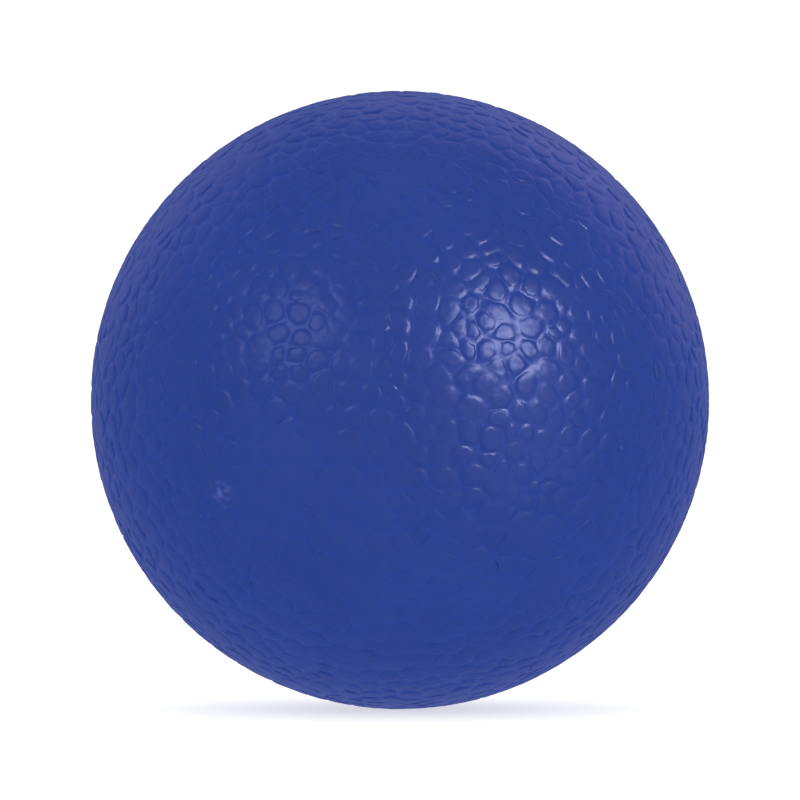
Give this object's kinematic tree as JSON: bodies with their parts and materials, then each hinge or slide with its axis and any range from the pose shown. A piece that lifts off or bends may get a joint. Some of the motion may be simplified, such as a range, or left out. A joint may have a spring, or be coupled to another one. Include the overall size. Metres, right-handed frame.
{
  "type": "stress ball",
  "caption": "Gel-filled squeeze ball in blue rubber with a moulded pebble grain, which flattens when pressed.",
  "frame": {"origin": "centre of the ball", "axes": "+Z out of the fill port along the squeeze axis, -Z down to the point that the ball rests on; the ball is the same all round Z"},
  "size_m": [0.063, 0.063, 0.063],
  "materials": {
    "skin": "glossy royal-blue rubber with a moulded pebble grain",
    "bladder": "thin natural latex, satin",
    "gel": "soft clear gel with a light blue tint",
    "collar": "firm blue rubber, matt",
    "plug": "natural nylon, satin",
    "cap": "glossy royal-blue rubber with the same grain as the skin"
  },
  "bodies": {
    "ball": {"outer_skin": "skin", "inner_bladder": "bladder", "gel_core": "gel"},
    "port_end": {"port_collar": "collar", "fill_plug": "plug", "port_cap": "cap"}
  },
  "joints": [
    {"name": "squeeze", "type": "slide", "parent": "ball", "child": "port_end", "axis": [0, 0, -1], "range_m": [0, 0.02], "stiffness_N_per_m": 1500, "deforming": ["outer_skin", "inner_bladder", "gel_core"]}
  ]
}
